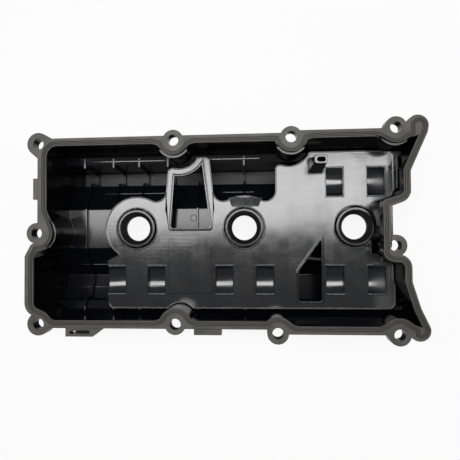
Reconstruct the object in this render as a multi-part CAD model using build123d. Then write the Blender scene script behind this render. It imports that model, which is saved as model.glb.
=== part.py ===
"""Valve cover for one bank of a V6 engine, in glass-filled nylon.

The cover lies on its outer side with the gasket face up. It is one thin
moulding: a bolted flange with a gasket groove, two long humps over the
camshafts with a valley between them, and three wells for the spark plug
tubes. A baffle plate is welded on the walls of the breather chamber inside.

Frame: X runs along the bank, Y across it, Z up towards the cylinder head.
Everything is laid out from the axis of the middle plug tube (X = Y = 0) and
the gasket face (Z = 0), and is moved at the end so that the origin is at the
bottom centre of the cover. Sizes are in millimetres.
"""
import os
from math import acos, cos, radians, sin, tan

from build123d import *

# ---- bank and camshafts ----------------------------------------------------
BORE_PITCH = 108.0          # plug tube to plug tube
CAM_Y = (-51.5, 43.9)       # the two camshaft axes, exhaust and intake
LOBE_OFFSET = 20.0          # cam lobes each side of a plug tube
LOBE_SWING_R = 24.0         # radius swept by a lobe tip, with clearance
LOBE_RECESS_W = 16.8        # width of a lobe recess along the bank
LOBE_RECESS_D = 4.3         # depth of a lobe recess in the baffle

# ---- flange and gasket -----------------------------------------------------
FLANGE_W = 7.3              # from the inner edge of the flange to the outer
FLANGE_SHIFT = -1.3         # its outer edge stands this far off to the left
FLANGE_T = 10.0             # the bolt bosses are as deep as the flange
GROOVE_W = 3.6
GROOVE_D = 4.0
GASKET_H = 4.8              # free height, proud of the flange until bolted
GASKET_SIDE_GAP = 0.1

# ---- inner edge of the flange ----------------------------------------------
TOP_Y = 78.6                # long intake side, left and middle
TOP_STEP = 2.0              # the right third of that side stands further out
BOTTOM_Y = -86.4            # long exhaust side, left and middle
BOTTOM_STEP = 4.3
LEFT_END = 79.2             # from plug tube 1 to the end behind the intake hump
LEFT_STEP = 12.4            # the exhaust hump reaches this much further
LEFT_STEP_SLOPE = ((0.0, -28.0), (4.0, -20.5))  # corners of that step: in, Y
LEFT_STEP_Y = -15.5         # where it meets the end behind the intake hump
LEFT_TOP_R = 10.0           # upper left corner
LEFT_LOW_CORNER = ((0.0, 12.5, 6.0), (11.8, 7.2, 10.0), (18.3, 0.0, 6.0))  # X, Y, R
RIGHT_END = 36.2            # from plug tube 3 to the right end, straight parts
WAIST_END = 17.0            # and beside the tube
WAIST_Y = (-33.0, 25.5)
WAIST_SLOPE = 3.0           # the sides of the waist widen by this at each end
WAIST_LEAN = 1.0
WAIST_R = 12.0              # the waist bends round the middle bolt
EAR_X = 16.6                # how far the two right corners flare out
EAR_Y = (12.8, 7.8)         # and up or down past the long sides
EAR_TIP = (1.0, 3.0)        # the tip of the upper ear, past that
EAR_TIP_IN = (-1.0, -8.0)   # its edge runs in to here
LOW_EAR_TIP = (2.0, -2.0)
EAR_R = 2.2
EAR_FOOT = (2.0, 5.0)       # the ears leave the long sides this far past the end
EAR_SLOPE = ((7.5, 13.0), (0.0, 30.0))  # the ears run in to the straight end
LOW_EAR_SLOPE = ((7.5, 14.0), (0.0, 39.0))
CORNER_R = 5.0

# ---- bolts, from the inner edge of the flange ------------------------------
LEFT_TOP_BOLT = (7.9, 2.2)  # outwards at the corners of the left end
LEFT_LOW_BOLT = (5.1, 3.6)  # (this one inwards along the bank)
LEFT_BOLT = (9.3, -4.3)     # out past the end, and its Y
TOP_BOLT_1 = (-65.2, 2.9)   # X, and out past the intake side
TOP_BOLT_2 = (44.4, 3.6)
LOW_BOLT_1 = (-63.8, 3.1)   # X, and out past the exhaust side
LOW_BOLT_2 = (30.7, 10.9)
RIGHT_TOP_BOLT = (6.2, 7.9)  # in from the right end, out past the side
RIGHT_LOW_BOLT = (5.5, 7.2)
WAIST_BOLT = (11.3, 15.0)   # from the lower corner of the waist

# ---- bolt bosses -----------------------------------------------------------
BOLT_HOLE_R = 5.2
BOLT_HEAD_R = 8.0           # room for the bolt head, under the flange
BOSS_R = 9.8
CORNER_BOSS_R = 10.8        # the two at the corners of the left end
SIDE_CLEAR_R = 15.0         # the inner edge passes a bolt axis at this radius:
LEFT_CLEAR_R = 17.0         # on the sides, and at the middle of the left end
LEFT_FLARE = 22.4           # there it runs out into the end this far up from the bolt
BOSS_WEB = 12.0             # the bosses at the left corners run into the flange this far off
FLARE_DROP = 5.0            # the inner edge leaves that arc this far inside the side
FLARE_EASE = 1.6            # and runs out into the side at a gentler slope
FLARE_EASE_ANGLE = 18.0     # degrees

# ---- shell -----------------------------------------------------------------
WALL = 3.0
END_DRAFT = 4.0             # degrees, the left end of the humps
NOSE_ANGLE = 35.0           # degrees, the right end of the humps
NOSE_Z = -30.0              # where that slope starts
NOSE_OUT = 6.0              # and how far past the ears
LEDGE_Z = -34.5             # shelf along both long sides
SHELF_W = 8.0
SHELF_FALL = 2.5
SIDE_LEAN = 4.4             # the long walls lean in this much down to the shelf
VALLEY_Z = -41.0            # roof between the humps
VALLEY_Y = (-19.5, 20.4)
INTAKE_CROWN_Z = -74.0      # inside of the intake hump
INTAKE_CROWN_Y = (48.6, 63.4)
INTAKE_SHOULDER_Z = -55.5
INTAKE_SHOULDER_IN = (1.6, 10.6)  # foot and lip of the shoulder, from the crown
INTAKE_SHOULDER_RISE = 5.0
EXHAUST_CROWN_Z = -62.5     # inside of the exhaust hump
EXHAUST_CROWN_Y = -49.5
EXHAUST_SHOULDER_Z = -53.5
EXHAUST_SLOPE = (12.5, 11.0)  # from the crown towards the valley
EXHAUST_FALL = (15.0, 4.5)  # and towards the long side
WALL_SPLAY = 0.5            # the long walls start this far out

# ---- ribs inside the roof --------------------------------------------------
RIB_T = 1.8
RIB_H = 3.0
RIB_RISE = 0.5              # they end this far above the shelf
RIB_FROM_PLUG_1 = (-57.5, -27.0, 0.0, 30.0, 60.0)  # and one at plug tube 2

# ---- plug wells and seals --------------------------------------------------
WELL_R = 18.7               # outside of the well
SEAL_R = 16.4               # bore of the well, seat of the plug tube seal
WELL_TOP_Z = -25.6          # rim of the well, just proud of the baffle
SEAL_H = 9.0
SEAL_SINK = 0.9             # the seal sits this far below the rim
SEAL_LIP_R = 12.4
SEAL_LIP_SINK = 4.6
SEAL_GAP = 0.05

# ---- baffle plate ----------------------------------------------------------
PLATE_Z = -27.0             # face towards the camshafts
PLATE_T = 2.5
PLATE_GAP = 0.6             # round the plate, to the cover's walls
PLATE_LEFT_END = 29.7       # from plug tube 1 to the left edge
PLATE_RIGHT_END = 37.0      # from plug tube 3 to the right edge
PLATE_BOTTOM_Y = -80.0
PLATE_TOP_Y = 74.0
PLATE_LOBE_R = 32.2         # the plate runs round plug tubes 1 and 2
PLATE_BOSS_CLEAR_R = 21.6   # and keeps this far from the bolt axes
PLATE_WELL_GAP = 1.5        # round each plug well
PLATE_R = 7.0               # corners
LOW_PANEL_Y = (-32.0, -26.0)  # top edge of the long panel, and its left corner
LOW_PANEL_CUT = 12.0
HIGH_PANEL_FROM_PLUG_2 = 31.0
TONGUE_FROM_PLUG = (29.8, 30.6)  # the tongue between plug tubes 1 and 2
TONGUE_TOP_Y = 71.0
TONGUE_TAPER = (3.2, 3.4)
TONGUE_TAPER_UP = 4.0       # the taper starts this far above the lobes
BRIDGE_FROM_PLUG = (13.0, 15.0)  # past plug tubes 1 and 3
BRIDGE_Y = (-38.0, 5.0)
PLATE_POCKET_R = 10.0       # hollow corners between the panels and the lobes
PLATE_CORNER_R = 5.0        # free corners beside those pockets
BULGE_X = 26.4              # the cover swells round plug tube 3, this far
BULGE_Y = (-34.0, 24.0)
CHAMBER_WALL_T = 2.4        # cover walls that the plate is welded to
CHAMBER_INSET = 3.0         # from the edge of the plate
CHAMBER_BACK_Y = -27.0      # the wall beside the plug wells
CHAMBER_PLUG_X = 29.0       # and where it turns, from a plug tube
CHAMBER_LEFT_Y = -35.0
CHAMBER_NOTCH = (9.0, 21.0, 12.0)  # round bolt bottom_1: half widths and depth
CHAMBER_WAIST = (19.0, 2.0, 8.0)  # round the waist: in from the end, and past it
UPPER_CHAMBER = (36.0, 53.0)  # second chamber: from plug tube 2, top left corner
UPPER_CHAMBER_GAP = (6.0, 10.0)  # from the wells, left and right
UPPER_CHAMBER_IN = 17.0
UPPER_CHAMBER_BOLT = 22.0   # past bolt top_2
WINDOW_1_TOP = (40.0, 42.0)  # corners, from plug tubes 1 and 2
WINDOW_1_BOTTOM = (34.4, 33.6)
WINDOW_1_Y = (0.0, 66.0)
WINDOW_2_X = (33.0, 55.2)   # right and left edges, from plug tube 3
WINDOW_2_TOP_Y = (-12.0, -43.0)
WINDOW_2_EDGE = 7.5         # from the edge of the plate
WINDOW_TOP_W = 8.0          # plate left between a window and the bolt boss
WINDOW_RIM_W = 1.3
WINDOW_RIM_H = 1.2
WINDOW_CORNER = 1.8

# ---- land beside the intake end of the baffle ------------------------------
LAND_Y = (32.5, 70.2)
LAND_W = 4.2                # from the edge of the baffle, with a ridge along it
LAND_SINK = 0.9
LAND_RIDGE = 1.3
LAND_PLATE_GAP = 0.25
LAND_GAP = 1.8              # to the end wall, bridged by three small ribs
LAND_RIB_Y = (37.0, 46.5, 56.0)
LAND_RIB_T = 1.2
LAND_FOOT = (0.5, 6.0)      # the lower corner is cut back
END_RIB_Y = -71.5           # one more rib joins the exhaust end to its wall

# ---- oil drain spout on the baffle -----------------------------------------
SPOUT_FROM_PLUG_3 = (-37.0, 60.0)
SPOUT_BASE = (16.0, 14.0)
SPOUT_TIP = (12.8, 7.5)
SPOUT_TOP_Z = 5.0
SPOUT_CORNER = 1.6
SPOUT_SLOT = (8.4, 4.0)

# ---- outer side ------------------------------------------------------------
SCREW_BOSS_R = 6.5
INSERT_HEX = 8.0            # across flats
INSERT_BORE_R = 2.5
INSERT_H = 9.0
INSERT_GAP = 0.03
COIL_SCREW = (-25.0, -13.0)  # from the plug tube axis
COIL_BOSS_BOTTOM_Z = -57.0
POST_FROM_PLUG = (-50.0, -4.0)  # harness posts on the exhaust hump, tubes 1 and 3
POST_W = 11.0
POST_RIB_T = 3.0
NIPPLE_FROM_PLUG_2 = 54.0
NIPPLE_R = 8.0
NIPPLE_BORE_R = 5.5
NIPPLE_L = 24.0
STIFFENER_FROM_PLUG = 27.0  # past plug tubes 1 and 2
STIFFENER_W = 16.0          # wider than the valley floor
STIFFENER_T = 2.5
STIFFENER_H = 8.0

# ---- clip brackets outside the flange --------------------------------------
BRACKET_T = 8.0
BRACKET_SINK = 0.8          # below the gasket face
LONG_BRACKET_FROM_END = (18.7, 44.9)
LONG_BRACKET_OUT = 8.0
LONG_BRACKET_GUSSET = 10.6
BRACKET_SLOT = (6.5, 5.0, 3.0)    # slot in it: from its end, length and width
BRACKET_RECESS = (17.0, 12.4, 3.4, 1.2)  # and a shallow recess, with its depth
SHORT_BRACKET_X = (-46.5, -21.0)
SHORT_BRACKET_OUT = 5.6
END_BRACKET_Y = (28.0, 48.0)
END_BRACKET_OUT = 6.0

# ---- worked out from the sizes above ---------------------------------------
FAR = 400.0                 # longer than anything here
OVERLAP = 1.0               # solids that join reach this far into each other
PLUGS = [(-BORE_PITCH, 0.0), (0.0, 0.0), (BORE_PITCH, 0.0)]
PLUG_X = [x for x, _ in PLUGS]
LEFT_X = PLUG_X[0] - LEFT_END
RIGHT_X = PLUG_X[2] + RIGHT_END
WAIST_X = PLUG_X[2] + WAIST_END
WAIST_CLEAR_R = BOLT_HEAD_R + WALL
TOP_R_Y = TOP_Y + TOP_STEP
BOTTOM_R_Y = BOTTOM_Y - BOTTOM_STEP
LEFT_LOW_X = LEFT_X - LEFT_STEP
BOTTOM_Z = INTAKE_CROWN_Z - WALL
DEEP = -BOTTOM_Z + WALL     # reaches through the lowest roof
PLATE_BACK_Z = PLATE_Z - PLATE_T
PLATE_LEFT_X = PLUG_X[0] - PLATE_LEFT_END
PLATE_RIGHT_X = PLUG_X[2] + PLATE_RIGHT_END

BOLTS = {
    "left_top": (LEFT_X - LEFT_TOP_BOLT[0], TOP_Y + LEFT_TOP_BOLT[1]),
    "left_middle": (LEFT_X - LEFT_BOLT[0], LEFT_BOLT[1]),
    "left_bottom": (LEFT_LOW_X + LEFT_LOW_BOLT[0], BOTTOM_Y - LEFT_LOW_BOLT[1]),
    "top_1": (TOP_BOLT_1[0], TOP_Y + TOP_BOLT_1[1]),
    "top_2": (TOP_BOLT_2[0], TOP_Y + TOP_BOLT_2[1]),
    "right_top": (RIGHT_X - RIGHT_TOP_BOLT[0], TOP_R_Y + RIGHT_TOP_BOLT[1]),
    "right_middle": (WAIST_X + WAIST_BOLT[0], WAIST_Y[0] + WAIST_BOLT[1]),
    "bottom_1": (LOW_BOLT_1[0], BOTTOM_Y - LOW_BOLT_1[1]),
    "bottom_2": (LOW_BOLT_2[0], BOTTOM_Y - LOW_BOLT_2[1]),
    "right_bottom": (RIGHT_X - RIGHT_LOW_BOLT[0], BOTTOM_R_Y - RIGHT_LOW_BOLT[1]),
}


def disc(point, r):
    return Pos(*point) * Circle(r)


def discs(points, r):
    return Sketch() + [disc(p, r) for p in points]


def polygon(*points):
    return make_face(Polyline(*points, close=True))


def slab(face, z_top, z_bottom):
    return extrude(Pos(0, 0, z_top) * face, -(z_top - z_bottom))


def grow(face, by):
    """The outline moved outwards, with its corners kept sharp."""
    return offset(face, by, kind=Kind.INTERSECTION)


# ---- outlines in plan ------------------------------------------------------
def straight_edge():
    """Inner edge of the flange before it is bent round the bolts: the corners
    of its straight runs, each with its radius."""
    low, high = WAIST_Y
    top = (RIGHT_X + EAR_X, TOP_R_Y + EAR_Y[0])
    bottom = (RIGHT_X + EAR_X, BOTTOM_R_Y - EAR_Y[1])
    corners = [
        (LEFT_X, TOP_Y, LEFT_TOP_R),
        (BOLTS["top_2"][0], TOP_Y, 0),
        (BOLTS["top_2"][0], TOP_R_Y, 0),
        (RIGHT_X + EAR_FOOT[0], TOP_R_Y, 0),
        (top[0] + EAR_TIP[0], top[1] + EAR_TIP[1], EAR_R),
        (top[0] + EAR_TIP_IN[0], top[1] + EAR_TIP_IN[1], 0),
        *[(RIGHT_X + x, TOP_R_Y - y, 0) for x, y in EAR_SLOPE],
        (RIGHT_X, high + WAIST_SLOPE, CORNER_R),
        (WAIST_X - WAIST_LEAN, high - WAIST_SLOPE, CORNER_R),
        (WAIST_X, low, WAIST_R),
        (RIGHT_X, low, CORNER_R),
        *[(RIGHT_X + x, BOTTOM_R_Y + y, 0) for x, y in reversed(LOW_EAR_SLOPE)],
        (bottom[0] + LOW_EAR_TIP[0], bottom[1] + LOW_EAR_TIP[1], EAR_R),
        (RIGHT_X + EAR_FOOT[1], BOTTOM_R_Y, 0),
        (BOLTS["bottom_2"][0], BOTTOM_R_Y, 0),
        (BOLTS["bottom_2"][0], BOTTOM_Y, 0),
        *[(LEFT_LOW_X + x, BOTTOM_Y + y, r) for x, y, r in reversed(LEFT_LOW_CORNER)],
        *[(LEFT_LOW_X + x, y, 0) for x, y in LEFT_STEP_SLOPE],
        (LEFT_X, LEFT_STEP_Y, 0),
    ]
    points = [(x, y) for x, y, _ in corners]
    return make_face(FilletPolyline(*points, radius=[r for *_, r in corners], close=True))


def tangent_web(centre, r, end, side):
    """Fills between a disc and the line that runs from an end to touch it."""
    dx, dy = end[0] - centre[0], end[1] - centre[1]
    reach = (dx * dx + dy * dy) ** 0.5
    turn = side * acos(r / reach)
    c, s = r * cos(turn) / reach, r * sin(turn) / reach
    touch = (centre[0] + dx * c - dy * s, centre[1] + dx * s + dy * c)
    return polygon(centre, touch, end)


def boss_clearance(name, wall_y, r):
    """Room round a bolt on a long side: an arc that flares into the side."""
    x, y = BOLTS[name]
    side = 1 if y > 0 else -1
    reach = abs(y - wall_y)
    a, b = acos((reach + FLARE_DROP) / r), radians(FLARE_EASE_ANGLE)
    rise = FLARE_DROP - FLARE_EASE
    u0, v0 = r * sin(a), -r * cos(a)
    u1, v1 = u0 + rise / tan(a), v0 + rise
    u2, v2 = u1 + FLARE_EASE / tan(b), v1 + FLARE_EASE
    half = [(u0, v0), (u1, v1), (u2, v2), (u2, v2 + r)]
    points = half + [(-u, v) for u, v in reversed(half)]
    return disc((x, y), r) + polygon(*[(x + u, y + side * v) for u, v in points])


def bolt_room(gap=0.0):
    """All that the bolts take out of the inside, and a gap round it."""
    side_r, left_r = SIDE_CLEAR_R + gap, LEFT_CLEAR_R + gap
    taken = boss_clearance("top_1", TOP_Y, side_r) + boss_clearance("top_2", TOP_R_Y, side_r)
    taken += boss_clearance("bottom_1", BOTTOM_Y, side_r)
    taken += boss_clearance("bottom_2", BOTTOM_R_Y, side_r)
    taken += boss_clearance("right_top", TOP_R_Y, side_r)
    taken += boss_clearance("right_bottom", BOTTOM_R_Y, side_r)
    flare_end = (LEFT_X, BOLTS["left_middle"][1] + LEFT_FLARE)
    taken += disc(BOLTS["left_middle"], left_r)
    return taken + tangent_web(BOLTS["left_middle"], left_r, flare_end, -1)


straight = straight_edge()
cavity_plan = straight - bolt_room()
edge_plan = Pos(FLANGE_SHIFT, 0) * grow(straight, FLANGE_W)
left_edge = LEFT_X - FLANGE_W + FLANGE_SHIFT

corner_bosses = [BOLTS["left_top"], BOLTS["left_bottom"]]
flange_plan = edge_plan + discs(BOLTS.values(), BOSS_R) + discs(corner_bosses, CORNER_BOSS_R)
web_end = (LEFT_X + BOSS_WEB / 2, TOP_Y + FLANGE_W - OVERLAP / 2)
flange_plan += tangent_web(BOLTS["left_top"], CORNER_BOSS_R, web_end, 1)
web_end = (left_edge + OVERLAP / 2, TOP_Y - BOSS_WEB)
flange_plan += tangent_web(BOLTS["left_top"], CORNER_BOSS_R, web_end, -1)

# under the flange the cover swells round plug tube 3, and past the land that
# the intake end of the baffle lies against
bulge_plan = Pos(PLUG_X[2] + BULGE_X / 2, sum(BULGE_Y) / 2) * Rectangle(
    BULGE_X, BULGE_Y[1] - BULGE_Y[0]
) - disc(BOLTS["right_middle"], WAIST_CLEAR_R)
land_x = PLATE_RIGHT_X + LAND_W
bulge_plan += Pos(RIGHT_X, sum(LAND_Y) / 2) * Rectangle(
    2 * (land_x + LAND_GAP - RIGHT_X), LAND_Y[1] - LAND_Y[0]
)


def pocket(lobe_x, edge_x):
    """Fills the corner between a lobe of the baffle and an upright edge, up to
    a round hollow that runs into both."""
    side = 1 if edge_x > lobe_x else -1
    x = edge_x - side * PLATE_POCKET_R
    y = ((PLATE_LOBE_R + PLATE_POCKET_R) ** 2 - (x - lobe_x) ** 2) ** 0.5
    corner = polygon((lobe_x, 0), (x, y), (edge_x, y), (edge_x, 0))
    return corner - disc((x, y), PLATE_POCKET_R)


def plate_outline():
    """The baffle: two long panels joined between the plug wells, bitten back
    round the bolt bosses and trimmed to the inside of the cover."""
    low = polygon(
        (PLATE_LEFT_X, PLATE_BOTTOM_Y),
        (PLATE_RIGHT_X, PLATE_BOTTOM_Y),
        (PLATE_RIGHT_X, LOW_PANEL_Y[1]),
        (PLATE_LEFT_X + LOW_PANEL_CUT, LOW_PANEL_Y[1]),
        (PLATE_LEFT_X, LOW_PANEL_Y[0]),
    )
    low = fillet(low.vertices().group_by(Axis.Y)[0], PLATE_R)
    high_x = PLUG_X[1] + HIGH_PANEL_FROM_PLUG_2
    high = Pos((high_x + PLATE_RIGHT_X) / 2, PLATE_TOP_Y / 2) * Rectangle(
        PLATE_RIGHT_X - high_x, PLATE_TOP_Y
    )
    high = fillet(high.vertices().group_by(Axis.X)[-1].group_by(Axis.Y)[-1], PLATE_R)
    tongue_x = (PLUG_X[0] + TONGUE_FROM_PLUG[0], PLUG_X[1] - TONGUE_FROM_PLUG[1])
    taper_y = PLATE_LOBE_R + TONGUE_TAPER_UP
    tongue = polygon(
        (tongue_x[0], 0.0),
        (tongue_x[1], 0.0),
        (tongue_x[1], taper_y),
        (tongue_x[1] - TONGUE_TAPER[1], TONGUE_TOP_Y),
        (tongue_x[0] + TONGUE_TAPER[0], TONGUE_TOP_Y),
        (tongue_x[0], taper_y),
    )
    x0, x1 = PLUG_X[0] + BRIDGE_FROM_PLUG[0], PLUG_X[2] + BRIDGE_FROM_PLUG[1]
    bridge = Pos((x0 + x1) / 2, sum(BRIDGE_Y) / 2) * Rectangle(x1 - x0, BRIDGE_Y[1] - BRIDGE_Y[0])
    lobes = discs(PLUGS[:2], PLATE_LOBE_R)
    plan = low + high + tongue + bridge + lobes
    plan -= discs([BOLTS["top_1"], BOLTS["top_2"]], PLATE_BOSS_CLEAR_R)
    plan += pocket(PLUG_X[0], tongue_x[0]) + pocket(PLUG_X[1], tongue_x[1])
    plan += pocket(PLUG_X[1], high_x)
    corners = plan.vertices().filter_by(lambda v: v.Y > CAM_Y[1] and v.X < high_x + 0.1)
    plan = fillet(corners, PLATE_CORNER_R)
    room = grow(straight, -PLATE_GAP) - bolt_room(PLATE_GAP)
    room += grow(bulge_plan, -PLATE_GAP)
    return plan & room


def land_outline():
    """The land beside the intake end of the baffle, round its corner."""
    low, high = LAND_Y
    face = polygon(
        (PLATE_RIGHT_X - PLATE_R, high),
        (land_x, high),
        (land_x, low + LAND_FOOT[1]),
        (PLATE_RIGHT_X - LAND_FOOT[0], low),
        (PLATE_RIGHT_X - PLATE_R, low),
    )
    return face - grow(plate_plan, LAND_PLATE_GAP)


def window_outlines(rim=0.0):
    """A trapezoid between wells 1 and 2, and a long triangle between 2 and 3.
    With a rim, both are that much larger all round."""
    low, high = WINDOW_1_Y
    first = polygon(
        (PLUG_X[0] + WINDOW_1_TOP[0], high),
        (PLUG_X[1] - WINDOW_1_TOP[1], high),
        (PLUG_X[1] - WINDOW_1_BOTTOM[1], low),
        (PLUG_X[0] + WINDOW_1_BOTTOM[0], low),
    )
    x0, x1 = PLUG_X[2] - WINDOW_2_X[1], PLUG_X[2] - WINDOW_2_X[0]
    edge = PLATE_BOTTOM_Y + WINDOW_2_EDGE
    second = polygon((x1, WINDOW_2_TOP_Y[0]), (x1, edge), (x0, edge), (x0, WINDOW_2_TOP_Y[1]))
    if rim:
        first, second = grow(first, rim), grow(second, rim)
    first = chamfer(first.vertices().group_by(Axis.Y)[0], WINDOW_CORNER)
    second = chamfer(second.vertices(), WINDOW_CORNER)
    first -= disc(BOLTS["top_1"], PLATE_BOSS_CLEAR_R + WINDOW_TOP_W - rim)
    return Sketch() + first + second


plate_plan = plate_outline()
window_plan = window_outlines()

# ---- the roof, as one profile across the bank ------------------------------
roof_profile = [
    (FAR / 2, FAR / 2),
    (FAR / 2, 0.0),
    (TOP_R_Y + WALL_SPLAY, 0.0),
    (TOP_Y - SIDE_LEAN, LEDGE_Z),
    (TOP_Y - SIDE_LEAN - SHELF_W, LEDGE_Z - SHELF_FALL),
    (INTAKE_CROWN_Y[1], INTAKE_CROWN_Z),
    (INTAKE_CROWN_Y[0], INTAKE_CROWN_Z),
    (INTAKE_CROWN_Y[0] - INTAKE_SHOULDER_IN[0], INTAKE_SHOULDER_Z),
    (INTAKE_CROWN_Y[0] - INTAKE_SHOULDER_IN[1], INTAKE_SHOULDER_Z + INTAKE_SHOULDER_RISE),
    (VALLEY_Y[1], VALLEY_Z),
    (VALLEY_Y[0], VALLEY_Z),
    (EXHAUST_CROWN_Y + EXHAUST_SLOPE[0], EXHAUST_CROWN_Z + EXHAUST_SLOPE[1]),
    (EXHAUST_CROWN_Y, EXHAUST_CROWN_Z),
    (EXHAUST_CROWN_Y - EXHAUST_FALL[0], EXHAUST_CROWN_Z + EXHAUST_FALL[1]),
    (BOTTOM_Y + SIDE_LEAN + SHELF_W, EXHAUST_SHOULDER_Z),
    (BOTTOM_Y + SIDE_LEAN + SHELF_W, VALLEY_Z),
    (BOTTOM_Y + SIDE_LEAN, LEDGE_Z - SHELF_FALL),
    (BOTTOM_R_Y - WALL_SPLAY, 0.0),
    (-FAR / 2, 0.0),
    (-FAR / 2, FAR / 2),
]
across = Plane.YZ.offset(-FAR / 2)
roof_face = polygon(*roof_profile)
roof_inside = extrude(across * roof_face, FAR)
roof_outside = extrude(across * grow(roof_face, WALL), FAR)
rib_tops = extrude(across * grow(roof_face, -RIB_H), FAR)


def ends(left_x, crown_z, wall):
    """Side view of one hump: upright on the left, sloping up on the right."""
    lean = -crown_z * tan(radians(END_DRAFT))
    nose = (NOSE_Z - crown_z) * tan(radians(NOSE_ANGLE))
    tip = RIGHT_X + EAR_X + NOSE_OUT
    side = polygon(
        (left_x, FAR / 2),
        (left_x, 0.0),
        (left_x + lean, crown_z),
        (tip - nose, crown_z),
        (tip, NOSE_Z),
        (tip, FAR / 2),
    )
    return Plane.XZ * grow(side, wall)


def hump_ends(wall):
    middle_y = VALLEY_Y[0]
    intake = extrude(Pos(0, middle_y, 0) * ends(LEFT_X, INTAKE_CROWN_Z, wall), -FAR)
    exhaust = extrude(Pos(0, middle_y, 0) * ends(LEFT_LOW_X, EXHAUST_CROWN_Z, wall), FAR)
    return intake + exhaust


# ---- cover: shell, flange and bosses ---------------------------------------
room = slab(cavity_plan, 0.0, -DEEP) + slab(bulge_plan, -FLANGE_T, -DEEP)
room = room & roof_inside & hump_ends(0.0)
outside = slab(grow(cavity_plan, WALL), 0.0, -DEEP) + slab(
    grow(bulge_plan, WALL), -FLANGE_T, -DEEP
)
outside = outside & roof_outside & hump_ends(WALL)
flange = slab(flange_plan, 0.0, -FLANGE_T)

wells = slab(discs(PLUGS, WELL_R), WELL_TOP_Z, VALLEY_Z - WALL)
well_bores = slab(discs(PLUGS, SEAL_R), 0.0, -DEEP)

# recesses that clear the cam lobes; each swells out of the back of the baffle
lobes = [(x + side * LOBE_OFFSET, CAM_Y[0]) for x, _ in PLUGS for side in (-1, 1)]
lobes += [(PLUGS[2][0] + side * LOBE_OFFSET, CAM_Y[1]) for side in (-1, 1)]


def lobe_drum(x0, x1, y):
    """Part of a drum about the cam axis that lies below the baffle's face."""
    floor_z = PLATE_Z - LOBE_RECESS_D
    arc = ThreePointArc((y - lobe_half, PLATE_Z), (y, floor_z), (y + lobe_half, PLATE_Z))
    face = make_face(arc + Line((y + lobe_half, PLATE_Z), (y - lobe_half, PLATE_Z)))
    return extrude(Plane.YZ.offset(x0) * face, x1 - x0)


lobe_half = (LOBE_SWING_R**2 - (LOBE_SWING_R - LOBE_RECESS_D) ** 2) ** 0.5
lobe_cuts, lobe_backs = Part(), Part()
for x, y in lobes:
    x0, x1 = x - LOBE_RECESS_W / 2, x + LOBE_RECESS_W / 2
    if x0 - PLATE_T < PLATE_LEFT_X:  # too near the end: it runs out of the plate
        x0 = PLATE_LEFT_X - OVERLAP
    lobe_cuts += lobe_drum(x0, x1, y)
    lobe_backs += Pos((x0 + x1) / 2, y, PLATE_Z) * Box(
        x1 - x0 + 2 * PLATE_T,
        2 * (lobe_half + PLATE_T),
        LOBE_RECESS_D + PLATE_T,
        align=(Align.CENTER, Align.CENTER, Align.MAX),
    )

# walls of the breather chamber, up to the back of the baffle
left, right = PLATE_LEFT_X + CHAMBER_INSET, RIGHT_X - CHAMBER_INSET
low, high = PLATE_BOTTOM_Y + CHAMBER_INSET, PLATE_TOP_Y - CHAMBER_INSET
notch_x = BOLTS["bottom_1"][0]
narrow, wide, deep = CHAMBER_NOTCH
waist_in, waist_gap, waist_drop = CHAMBER_WAIST
chamber_face = polygon(
    (left, low),
    (notch_x - wide, low),
    (notch_x - narrow, low + deep),
    (notch_x + narrow, low + deep),
    (notch_x + wide, low),
    (right, low),
    (right, WAIST_Y[0] - waist_drop),
    (right - waist_in, WAIST_Y[0] - waist_gap),
    (PLUG_X[1] + CHAMBER_PLUG_X, CHAMBER_BACK_Y),
    (PLUG_X[0] + CHAMBER_PLUG_X, CHAMBER_BACK_Y),
    (left, CHAMBER_LEFT_Y),
)
upper_left = PLUG_X[1] + UPPER_CHAMBER[0]
upper_face = polygon(
    (upper_left, WELL_R + UPPER_CHAMBER_GAP[0]),
    (right - UPPER_CHAMBER_IN, WELL_R + UPPER_CHAMBER_GAP[1]),
    (right, high),
    (BOLTS["top_2"][0] + UPPER_CHAMBER_BOLT, high),
    (upper_left, UPPER_CHAMBER[1]),
)
chamber_plan = (chamber_face - grow(chamber_face, -CHAMBER_WALL_T)) + (
    upper_face - grow(upper_face, -CHAMBER_WALL_T)
)
chamber = (slab(chamber_plan, PLATE_BACK_Z, -DEEP) & room) - lobe_backs

# the land that the intake end lies against, and the small ribs beyond it
land_plan = land_outline()
ridge_plan = land_plan & (Pos(land_x - LAND_RIDGE / 2, 0) * Rectangle(LAND_RIDGE, FAR))
tie_plan = Sketch() + [
    Pos(land_x + LAND_GAP / 2, y) * Rectangle(LAND_GAP + 2 * OVERLAP, LAND_RIB_T)
    for y in LAND_RIB_Y
]
end_rib_x = (PLATE_RIGHT_X + OVERLAP, RIGHT_X + EAR_X)
tie_plan += Pos(sum(end_rib_x) / 2, END_RIB_Y) * Rectangle(end_rib_x[1] - end_rib_x[0], LAND_RIB_T)
land = slab(land_plan, PLATE_Z - LAND_SINK, -DEEP) + slab(ridge_plan, PLATE_Z, -DEEP)
land = (land + slab(tie_plan, PLATE_Z, LEDGE_Z)) & room

# thin ribs across the bank, following the roof
rib_x = [PLUG_X[0] + x for x in RIB_FROM_PLUG_1] + [PLUG_X[1]]
rib_plan = Sketch() + [Pos(x, 0) * Rectangle(RIB_T, FAR) for x in rib_x]
ribs = (slab(rib_plan, LEDGE_Z - RIB_RISE, -DEEP) & room) - rib_tops

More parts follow.
